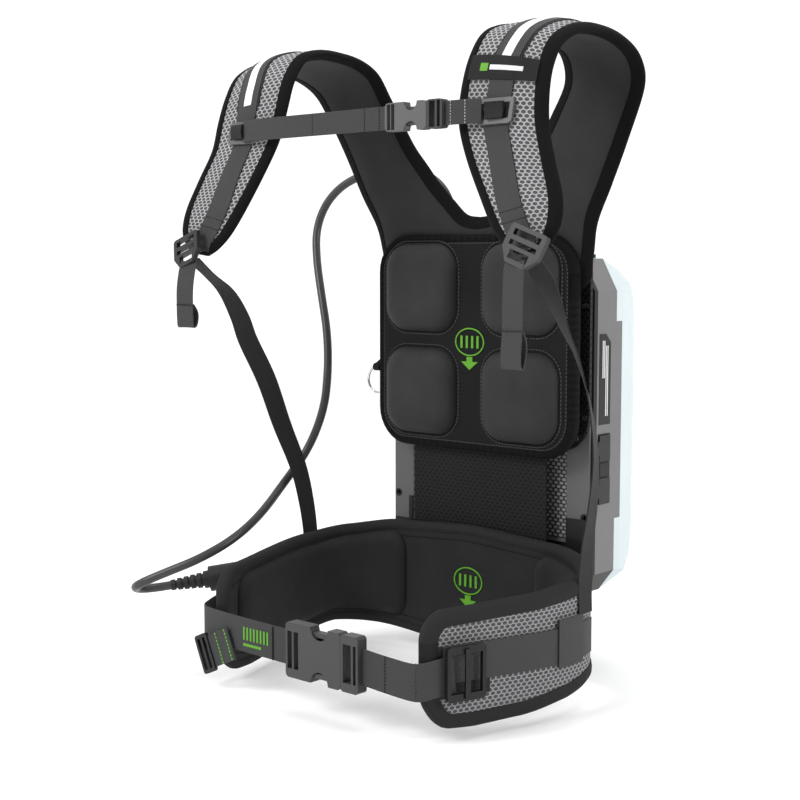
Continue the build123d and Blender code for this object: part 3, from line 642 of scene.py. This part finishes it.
def makePadPanel():
    # a quilted panel: thin at the taped edge, fuller inside it
    profile = [(3.0, -15.6), (0.2, -15), (-0.6, -12), (-0.6, -7), (0.4, -3.6), (3, -2.4), (7, -2.2), (9.5, -1.5),
               (12, -0.6), (17, -0.1), (26, 0), (40, 0)]
    return loft("backPad", [padRing(inset, lift) for inset, lift in profile], foamCloth)


def makePadTape():
    profile = [(9.5, -15.9), (2, -15.9), (-0.6, -14), (-1.4, -9), (-0.8, -4), (1.2, -1.6), (4.5, -1.0), (7.6, -1.5),
               (7.6, -3.2), (3, -5), (2, -12), (9.5, -14)]
    rings = [padRing(inset, lift) for inset, lift in profile]
    coordinates = [[(0.001 * r, 0.004 * c) for c in range(len(ring))] for r, ring in enumerate(rings)]
    return loft("backPadTape", rings, blackTape, None, coordinates, endless=True)


padBody = makePadPanel()
place(padBody, "harness", "back_pad", slot="foam_fabric")
place(makePadTape(), "harness", slot="binding")
padCushion = {"x": (22, 132), "z": (11, 117), "corner": 30, "height": 18, "shoulder": 25}
cushions = []
for sx in (-1, 1):
    for sz in (-1, 1):
        cx, cz = sx * sum(padCushion["x"]) / 2, sz * sum(padCushion["z"]) / 2
        halfU = (padCushion["x"][1] - padCushion["x"][0]) / 2
        halfV = (padCushion["z"][1] - padCushion["z"][0]) / 2
        piece = cushion(f"backCushion_{'L' if sx > 0 else 'R'}{'T' if sz > 0 else 'B'}",
                        lambda u, v, lift, cx=cx, cz=cz: (cx + u, -lift, cz + v), halfU, halfV,
                        padCushion["corner"], padCushion["height"], padCushion["shoulder"], cushionCloth)
        cushions.append(piece)
        ring = [(cx + u, -0.5, cz + v) for u, v in roundedOutline(halfU, halfV, padCushion["corner"], -4.5)]
        sew("harness", seamThread, ring, 4.6, 2.9, 1.1, True)
for piece in cushions:
    place(piece, "harness", "back_cushions" if piece == cushions[0] else None, slot="cushion_fabric")
sew("harness", seamThread, padRing(9.5, -1.3), 4.6, 2.9, 1.1, True)


# printed marks, thin raised areas on a surface

def addArea(points, faces, spot, corners, low, high):
    first, n = len(points), len(corners)
    points.extend(spot(u, v, lift) for lift in (low, high) for u, v in corners)
    faces.append(tuple(first + i for i in reversed(range(n))))
    faces.append(tuple(first + n + i for i in range(n)))
    for i in range(n):
        j = (i + 1) % n
        faces.append((first + i, first + j, first + n + j, first + n + i))


def bars(name, spot, heights, width, gap, material):
    points, faces = [], []
    for k, (bottom, top) in enumerate(heights):
        left, right = k * (width + gap), k * (width + gap) + width
        addArea(points, faces, spot, [(left, bottom), (right, bottom), (right, top), (left, top)], 0.1, 0.45)
    return makeObject(name, points, faces, material)


def greenMark(name, spot, material):  # a ring with bars in it and an arrow below
    points, faces, low, high, steps = [], [], 0.2, 1.2, 64
    for i in range(steps):  # the ring is one closed band
        a = 2 * math.pi * i / steps
        for radiusU, radiusV, lift in ((22.6, 17.2, low), (22.6, 17.2, high), (21, 15.6, high), (21, 15.6, low)):
            points.append(spot(radiusU * math.cos(a), radiusV * math.sin(a), lift))
        j = (i + 1) % steps
        faces.extend((4 * i + k, 4 * j + k, 4 * j + (k + 1) % 4, 4 * i + (k + 1) % 4) for k in range(4))
    for x in (-12.5, -4.2, 4.2, 12.5):
        addArea(points, faces, spot, [(x - 1.6, -7.5), (x + 1.6, -7.5), (x + 1.6, 7.5), (x - 1.6, 7.5)], low, high)
    arrow = [(-4.5, -18.2), (-4.5, -24), (-13, -24), (0, -34), (13, -24), (4.5, -24), (4.5, -18.2)]
    addArea(points, faces, spot, arrow, low, high)
    return makeObject(name, points, faces, material)


padMark = greenMark("padMark", lambda u, v, lift: (u, -lift, -1 + v), greenInk)
place(padMark, "harness", slot="print_green")


# hip belt

def roundedPath(corners, radii, step=4.0):
    points = [Vector(corners[0])]

    def walkTo(target):
        gap = target - points[-1]
        for i in range(1, max(1, int(gap.length / step))):
            points.append(points[-1] + gap.normalized() * step)
    for before, corner, after, r in zip(corners, corners[1:], corners[2:], radii):
        before, corner, after = Vector(before), Vector(corner), Vector(after)
        a, b = (before - corner).normalized(), (after - corner).normalized()
        bend = math.pi - a.angle(b)
        start = corner + a * (r * math.tan(bend / 2))
        heart = corner + (a + b).normalized() * (r / math.cos(bend / 2))
        arm = start - heart
        turnSign = 1 if a.x * b.y - a.y * b.x < 0 else -1
        count = max(3, int(r * bend / step))
        walkTo(start)
        for i in range(count + 1):
            angle = turnSign * bend * i / count
            points.append(heart + Vector((arm.x * math.cos(angle) - arm.y * math.sin(angle),
                                          arm.x * math.sin(angle) + arm.y * math.cos(angle))))
    walkTo(Vector(corners[-1]))
    points.append(Vector(corners[-1]))
    return points


beltPlan = roundedPath([(156, -267), (207, -115), (206, 6), (-206, 6), (-207, -115), (-156, -267)],
                       [200, 80, 80, 200])
beltRun = [0.0]
for p, q in zip(beltPlan, beltPlan[1:]):
    beltRun.append(beltRun[-1] + (q - p).length)
beltLength = beltRun[-1]


def beltAt(run, offset, z):
    # run along the belt from its left-hand front end; offset counts towards the wearer
    run = min(max(run, 0), beltLength)
    i = max(k for k in range(len(beltRun) - 1) if beltRun[k] <= run)
    t = (run - beltRun[i]) / max(beltRun[i + 1] - beltRun[i], 1e-6)
    point = beltPlan[i] + (beltPlan[i + 1] - beltPlan[i]) * t
    before, after = beltPlan[max(i - 1, 0)], beltPlan[min(i + 2, len(beltPlan) - 1)]
    way = ((beltPlan[i + 1] - beltPlan[i]).normalized() * 0.5 + (after - before).normalized() * 0.5).normalized()
    inward = Vector((-way.y, way.x))
    return (point.x + inward.x * offset, point.y + inward.y * offset, z)


def between(table, x):
    for (x0, y0), (x1, y1) in zip(table, table[1:]):
        if x <= x1:
            t = min(max((x - x0) / (x1 - x0), 0), 1)
            t = t * t * (3 - 2 * t) * 0.4 + t * 0.6
            return y0 + (y1 - y0) * t
    return table[-1][1]


# heights by the distance from the front end, the same on both sides
halfBelt = beltLength / 2
topTable = [(0, -267), (25, -263), (60, -262), (130, -259), (205, -253), (262, -246), (330, -236), (halfBelt, -229)]
bottomTable = [(0, -379), (25, -386), (60, -388), (120, -386), (180, -379), (240, -369), (330, -373),
               (halfBelt, -381)]
belt = {"half": 7, "tape": 15, "topCorner": 26, "bottomCorner": 34, "seam": 17.5, "meshTo": 250}


def beltEdge(run, top):
    table, corner, sign = (topTable, belt["topCorner"], 1) if top else (bottomTable, belt["bottomCorner"], -1)
    d = min(run, beltLength - run)
    z = between(table, d)
    if d < corner:
        z -= sign * (corner - math.sqrt(max(corner ** 2 - (corner - d) ** 2, 0)))
    return z


print("hip belt")


def makeBelt():
    runs = [i / 130 * beltLength for i in range(131)]
    nearEnd = [0.3, 1, 2, 4, 6, 9, 12]
    runs = sorted(set(runs + nearEnd + [beltLength - x for x in nearEnd]))
    levels = [0, 0.015, 0.04, 0.08, 0.15, 0.3, 0.45, 0.6, 0.75, 0.87, 0.93, 0.965, 0.985, 1]
    loops, coordinates = [], []
    for run in runs:
        low, high = beltEdge(run, False), beltEdge(run, True)
        endRound = min(1, math.sqrt(min(run, beltLength - run) / 5 + 0.25))
        loop, marks = [], []
        for side in (-1, 1):
            for level in levels if side < 0 else reversed(levels):
                edge = min(level, 1 - level) * (high - low)
                half = belt["half"] * endRound * math.sqrt(max(1 - max(0, 1 - edge / 6) ** 2, 0.02))
                z = low + (high - low) * level
                loop.append(beltAt(run, side * half, z))
                marks.append((run / 1000, z / 1000))
        loops.append(loop)
        coordinates.append(marks)
    outer = len(levels) - 1

    def cover(r, c):  # mesh on the outside of the wings, lining elsewhere
        return 1 if c < outer and min(runs[r], beltLength - runs[r]) < belt["meshTo"] else 0
    return loft("hipBelt", loops, [beltCloth, beltMesh], cover, coordinates)


def beltPerimeter(step=6.0):
    # the belt's outline unrolled: run along it against height, counter-clockwise from the front bottom
    top, bottom = [], []
    count = int(beltLength / step)
    nearEnd = [x for k in (0.2, 0.8, 1.8, 3.2, 5, 7.5, 10.5, 14, 18, 23) for x in (k, beltLength - k)]
    spots = sorted(set([i / count * beltLength for i in range(count + 1)] + nearEnd))
    for run in spots:
        bottom.append(Vector((run, beltEdge(run, False))))
        top.append(Vector((run, beltEdge(run, True))))
    ring = bottom + list(reversed(top))
    cleaned = [ring[0]]
    for p in ring[1:]:
        if (p - cleaned[-1]).length > 2.5:
            cleaned.append(p)
    return cleaned


def makeBeltTape():
    ring = beltPerimeter()
    count = len(ring)
    reach, half = belt["tape"], belt["half"]
    profile = [(reach, -half - 0.1), (reach, -half - 1.2), (reach * 0.6, -half - 2.0), (3, -half - 1.6),
               (-0.6, -half + 1.0), (-1.8, -2), (-1.8, 2), (-0.6, half - 1.0), (3, half + 1.4), (6, half + 1.6),
               (9, half + 0.9), (9, half - 0.6), (4, half - 3), (3, 0), (4, -half + 3)]
    loops, coordinates, run = [], [], 0.0
    for i in range(count):
        before, here, after = ring[i - 2], ring[i], ring[(i + 2) % count]
        way = (after - before).normalized()
        inward = Vector((-way.y, way.x))
        run += (here - ring[i - 1]).length / 1000 if i else 0
        loop = []
        for inset, offset in profile:
            p = here + inward * inset
            end = min(max(p.x, 0), beltLength)
            base = Vector(beltAt(end, offset, p.y))
            if p.x != end:  # the tape's outer bulge goes past the belt's end
                near = Vector(beltAt(min(max(end, 2), beltLength - 2), offset, p.y))
                base += (base - near).normalized() * abs(p.x - end)
            loop.append(base)
        loops.append(loop)
        coordinates.append([(inset / 1000, run) for inset, offset in profile])
    return loft("hipBeltTape", loops, greyTape, None, coordinates, endless=True)


hipBelt = makeBelt()
place(hipBelt, "harness", "hip_belt", slot="foam_fabric")
place(makeBeltTape(), "harness", slot="binding")
for top in (True, False):
    line = []
    for i in range(140):
        run = 14 + (beltLength - 28) * i / 139
        z = beltEdge(run, top) + (-belt["seam"] if top else belt["seam"])
        line.append(beltAt(run, belt["half"] + 0.5, z))
    sew("harness", blackThread, line, 3.6, 2.2, 0.7)

beltPad = {"from": 28, "to": 350, "top": -262, "bottom": -359, "corner": 22, "height": 11, "shoulder": 15}
for mirrored in (False, True):
    middleRun = (beltPad["from"] + beltPad["to"]) / 2
    halfU, halfV = (beltPad["to"] - beltPad["from"]) / 2, (beltPad["top"] - beltPad["bottom"]) / 2

    def onBelt(u, v, lift):
        run = middleRun + u
        low, high = between(bottomTable, run) + 16, between(topTable, run) - 13
        return onSide([beltAt(run, belt["half"] + lift, low + (high - low) * (v + halfV) / (2 * halfV))], mirrored)[0]
    piece = cushion(sided("beltCushion", mirrored), onBelt, halfU, halfV, beltPad["corner"], beltPad["height"],
                    beltPad["shoulder"], beltCloth, 1.0, 0.5, 40)
    place(piece, "harness", "belt_cushion_right" if mirrored else "belt_cushion_left", slot="cushion_fabric")

beltMark = greenMark("beltMark", lambda u, v, lift: (u, 6 - belt["half"] - lift, -296 + v), greenInk)
place(beltMark, "harness", slot="print_green")


# webbing

def beltRibbon(name, first, last, z, width, offset, thick, material):
    middle = [beltAt(first + (last - first) * i / 12, offset, z) for i in range(13)]
    return ribbon(name, middle, [(0, 0, 1)] * 13, width, thick, material, 4)


print("webbing")
tailDrop = {"left": 92, "right": 66}
for mirrored in (False, True):
    hand = "right" if mirrored else "left"
    ends = (beltLength - 20, beltLength - 230) if mirrored else (20, 230)
    web = beltRibbon(sided("wingWeb", mirrored), *ends, -318, 40, -9.6, 1.5, webbing)
    place(web, "harness", None if mirrored else "wing_webs", slot="webbing")
    first = beltLength - 205 if mirrored else 165
    keeper = beltRibbon(sided("keeper", mirrored), first, first + 40, -315, 54, -11.6, 1.6, webbing)
    place(keeper, "harness", None if mirrored else "keeper_loops", slot="webbing")

    lower = [(256, -219, 99), (253, -196, 80), (248, -172, 58), (248, -151, 27), (252, -134, -3), (249, -106, -54),
             (243, -85, -113), (231, -72, -168), (221, -66, -211), (215.5, -62, -252), (215.6, -61, -290)]
    if mirrored:
        lower[7], lower[8] = (229, -70, -168), (220, -65, -211)
    angles = [20, 5, -15, -35, -46, -58, -68, -78, -85, -90, -90]
    across = [(math.cos(math.radians(a)), math.sin(math.radians(a)), 0) for a in angles]
    across[0] = (*across[0][:2], -0.35)
    lower, across = onSide(lower, mirrored), onSide(across, mirrored)
    strip = ribbon(sided("lowerStrap", mirrored), lower, across, 25, 1.5, darkWebbing)
    placeBending(strip, "lower_strap_" + hand)

    # the tail hangs from the lock, and its end is folded back and sewn
    drop = tailDrop[hand]
    fall = [(246, -233, 96), (247, -236, 84)]
    for x, y, share in ((248, -238.5, 0.3), (248, -239, 0.62), (247, -239.5, 0.85), (247, -238.5, 0.99),
                        (247, -234, 0.98), (247.5, -231, 0.85), (248, -231.5, 0.72), (248, -236.8, 0.6)):
        fall.append((x, y, 84 - drop * share))
    wide = onSide([(1, -0.1, 0)] * len(fall), mirrored)
    piece = ribbon(sided("tail", mirrored), onSide(fall, mirrored), wide, 27, 1.5, webbing)
    place(piece, "lock_" + hand, "tail_" + hand, slot="webbing")
    z = 84 - drop * 0.6
    sew("lock_" + hand, blackThread, onSide([(235.5, -240.2, z), (260.5, -241, z)], mirrored), 3.0, 1.9, 0.8)

backing = beltRibbon("adjusterBacking", 14, 78, -326, 56, -8.4, 1.0, darkWebbing)
place(backing, "harness", slot="webbing")
for side in (-1, 1):  # webbing rolled round each slider's bar
    ends = [(side * 182, -200.7, 249), (side * 203, -198.3, 249)]
    roll = ribbon(sided("sliderRoll", side < 0), ends, [(0, 0, 1)] * 2, 17, 5, darkWebbing, 4, 2.0)
    place(roll, "chest_strap", slot="webbing")


def uprightWeb(name, middle, width, steps):
    return ribbon(name, middle, [(0, 0, 1)] * len(middle), width, 1.6, webbing, steps)


chestRight = uprightWeb("chestWebRight", [(-186, -197.5, 249), (-172, -202.5, 249), (-120, -206.2, 249),
                                          (-30, -206.4, 249), (56, -206.2, 249)], 25, 10)
place(chestRight, "chest_strap", "chest_web_right", slot="webbing")
chestLeft = uprightWeb("chestWebLeft", [(131, -206.2, 249), (146, -206.2, 249), (162, -204.5, 249), (177, -200.3, 249)],
                       25, 6)
placeBending(chestLeft, "chest_web_left")
for x in (-60, 20, 42):
    sew("chest_strap", blackThread, [(x, -207.3, 238), (x, -207.3, 260)], 3, 1.8, 0.7)
for x, y in ((142, -207.4), (160, -205.9)):
    sew("chest_buckle_male", paleThread, [(x, y, 238), (x, y, 260)], 3, 1.8, 0.7)

hipRight = uprightWeb("hipWebRight", [(-26, -278, -329), (-70, -279, -328), (-120, -279, -327), (-160, -275.5, -327),
                                      (-184, -268, -327), (-197, -248, -326), (-205, -218, -322)], 40, 8)
place(hipRight, "harness", "hip_web_right", slot="webbing")
hipLeft = uprightWeb("hipWebLeft", [(80, -278, -330), (115, -278.6, -332), (150, -279, -333), (163, -275, -332),
                                    (170, -261, -330), (177.5, -241, -327)], 40, 8)
placeBending(hipLeft, "hip_web_left")
for x, y in ((116, -279.9), (158, -278.5)):
    sew("hip_buckle_male", blackThread, [(x, y, -350), (x, y, -313)], 3.4, 2, 0.8)

tabTurn = math.radians(24)
alongTab = Vector((-math.cos(tabTurn), 0, -math.sin(tabTurn)))
upTab = Vector((-math.sin(tabTurn), 0, math.cos(tabTurn)))
tabMiddle = Vector((-138, -283.2, -348))
tabLine = [tabMiddle - alongTab * 20, tabMiddle, tabMiddle + alongTab * 17,
           tabMiddle + alongTab * 19 + Vector((0, 1.6, 0))]
tab = ribbon("hipTab", tabLine, [upTab] * 4, 38, 2.4, webbing, 4)
place(tab, "harness", "hip_tab", slot="webbing")
for distance in (-15, 2):
    middle = tabMiddle + alongTab * distance + Vector((0, -1.5, 0))
    sew("harness", greenThread, [tuple(middle + upTab * 17), tuple(middle - upTab * 17)], 4.2, 2.6, 1.1)

webBars = bars("hipWebBars", lambda u, v, lift: (-103 + u, -279.9 - lift, -329 + v), [(-4, 11)] * 8, 2.6, 3.0, greenInk)
place(webBars, "harness", slot="print_green")
webLine = bars("hipWebLine", lambda u, v, lift: (-103 + u, -279.9 - lift, -329 + v), [(-11, -8)], 30, 3.0, greenInk)
place(webLine, "harness", slot="print_green")
sew("harness", blackThread, [(-54, -280.0, -347), (-54, -280.0, -311)], 2.0, 1.9, 1.4)

labelLow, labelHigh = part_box("rating_label")
labelFace = labelHigh[0] * 1000
labelBottom, labelTop = labelLow[2] * 1000, labelHigh[2] * 1000
labelBars = bars("labelBars", lambda u, v, lift: (labelFace + lift, (labelLow[1] + labelHigh[1]) * 500 - 6 + u, v),
                 [(labelTop - 52, labelTop - 8)] * 2 + [(labelBottom + 10, labelTop - 14)] * 2, 1.6, 1.7, paleInk)
place(labelBars, "harness", slot="label")

# black collars round the plate's two lower holes, and the bracket's cheeks below the plate
collar = {"x": 147, "z": -205, "inner": 3.4, "outer": 5.2}
for side in (-1, 1):
    rings = []
    for edge, y in (("inner", 34.0), ("inner", 33.4), ("outer", 33.4), ("outer", 34.0)):
        turns, radius = [math.radians(a) for a in range(0, 360, 12)], collar[edge]
        rings.append([(side * collar["x"] + radius * math.cos(a), y, collar["z"] + radius * math.sin(a))
                      for a in turns])
    piece = loft(sided("holeCollar", side < 0), rings, blackAbs, capped=False)
    place(piece, "harness", slot="black_plastic")
    low, high = (121.5, 151) if side > 0 else (-128, -121.5)
    cheek = bars(sided("bracketCheek", side < 0), lambda u, v, lift: (low + u, 33.9 - lift * 3, v),
                 [(-258, -207)], high - low, 0, blackAbs)
    place(cheek, "harness", slot="black_plastic")

ringTab = cadNodes["ring_tab"].data
ringTab.materials.clear()
ringTab.materials.append(patchWeave)


# power lead

print("power lead")
lead = {"diameter": 0.011, "length": 0.996}
route = [(-100, 88, 128), (-100, 88, 166), (-122, 83, 202), (-168, 74, 220), (-214, 64, 215),
         (-258, 55, 205), (-290, 46, 178), (-302, 37, 140), (-292, 28, 98), (-271, 16, 52),
         (-249, 5, 2), (-234, -9, -48), (-229, -22, -98), (-242, -39, -151), (-254, -71, -191),
         (-241, -122, -223), (-228, -179, -246), (-244, -224, -268), (-280, -254, -287),
         (-305, -273, -301), (-325, -263, -311), (-326, -238, -315.5), (-306, -219, -311)]
curve = bpy.data.curves.new("powerLead", "CURVE")
curve.dimensions = "3D"
spline = curve.splines.new("NURBS")
spline.points.add(len(route) - 1)
for spot, (x, y, z) in zip(spline.points, route):
    spot.co = (x / 1000, y / 1000, z / 1000, 1)
spline.order_u = 3
spline.use_endpoint_u = True
spline.resolution_u = 12
curve.bevel_depth = lead["diameter"] / 2
curve.bevel_resolution = 8
curve.use_fill_caps = True
powerLead = bpy.data.objects.new("powerLead", curve)
bpy.context.collection.objects.link(powerLead)
curve.materials.append(cableJacket)
place(powerLead, "harness", "power_cable", slot="cable_rubber")

sewAll()


# floor and light

print("floor and light")
floorLevel = -0.401
floorMaterial, floorTree, floorShader = startMaterial("painted studio floor, white", "#f4f4f4", 0.9,
                                                     {"Emission Color": (1, 1, 1, 1), "Emission Strength": 0.13})
grit = addNode(floorTree, "ShaderNodeTexNoise", None, {"Scale": 40})
relief(floorTree, floorShader, grit.outputs[0], 0.00001)
floorMesh = bpy.data.meshes.new("floor")
corners = [(-30, -30), (30, -30), (30, 30), (-30, 30)]
floorMesh.from_pydata([(x, y, floorLevel) for x, y in corners], [], [(0, 1, 2, 3)])
floorMesh.materials.append(floorMaterial)
floor = bpy.data.objects.new("floor", floorMesh)
bpy.context.collection.objects.link(floor)

# a round backdrop: lit white behind the harness as first seen, paler grey on the other side
wallMaterial, wallTree, wallShader = startMaterial("lit studio backdrop", "#6a6a6a", 0.9, {"Emission Strength": 1.0})
wallPlace = addNode(wallTree, "ShaderNodeTexCoord")
behind = addNode(wallTree, "ShaderNodeVectorMath", {"operation": "DOT_PRODUCT"}, {1: (forward.x, forward.y, 0)},
                 {0: wallPlace.outputs["Object"]})
fade = addNode(wallTree, "ShaderNodeMapRange", {"interpolation_type": "SMOOTHSTEP"},
               {"From Min": -3, "From Max": 2.2, "To Min": 0.25, "To Max": 1.0}, {"Value": behind.outputs["Value"]})
wallTree.links.new(fade.outputs[0], wallShader.inputs["Emission Color"])
backdrop = {"radius": 5, "height": 6, "sides": 64}
wallPoints, wallFaces = [], []
for i in range(backdrop["sides"]):
    angle = 2 * math.pi * i / backdrop["sides"]
    for z in (floorLevel, backdrop["height"]):
        wallPoints.append((backdrop["radius"] * math.cos(angle), backdrop["radius"] * math.sin(angle), z))
    j = (i + 1) % backdrop["sides"]
    wallFaces.append((2 * i, 2 * i + 1, 2 * j + 1, 2 * j))
wallMesh = bpy.data.meshes.new("backdrop")
wallMesh.from_pydata(wallPoints, [], wallFaces)
wallMesh.materials.append(wallMaterial)
wallMesh.shade_smooth()
wall = bpy.data.objects.new("backdrop", wallMesh)
bpy.context.collection.objects.link(wall)

world = bpy.data.worlds.new("studio")
bpy.context.scene.world = world
world.use_nodes = True
world.node_tree.nodes["Background"].inputs[0].default_value = (1, 1, 1, 1)
world.node_tree.nodes["Background"].inputs[1].default_value = 0.38


def softLight(name, spot, aim, size, power):
    data = bpy.data.lights.new(name, "AREA")
    data.size = size
    data.energy = power
    lamp = bpy.data.objects.new(name, data)
    lamp.location = spot
    lamp.rotation_euler = (Vector(aim) - Vector(spot)).to_track_quat("-Z", "Y").to_euler()
    bpy.context.collection.objects.link(lamp)


softLight("keyLight", (-0.9, -2.4, 1.7), (0, 0, 0), 1.2, 56)
softLight("topLight", (0.2, 0.1, 2.6), (0, 0, 0), 1.8, 38)
softLight("sideLight", (2.3, 0.3, 0.9), (0, 0, 0), 1.0, 30)

print("finished")
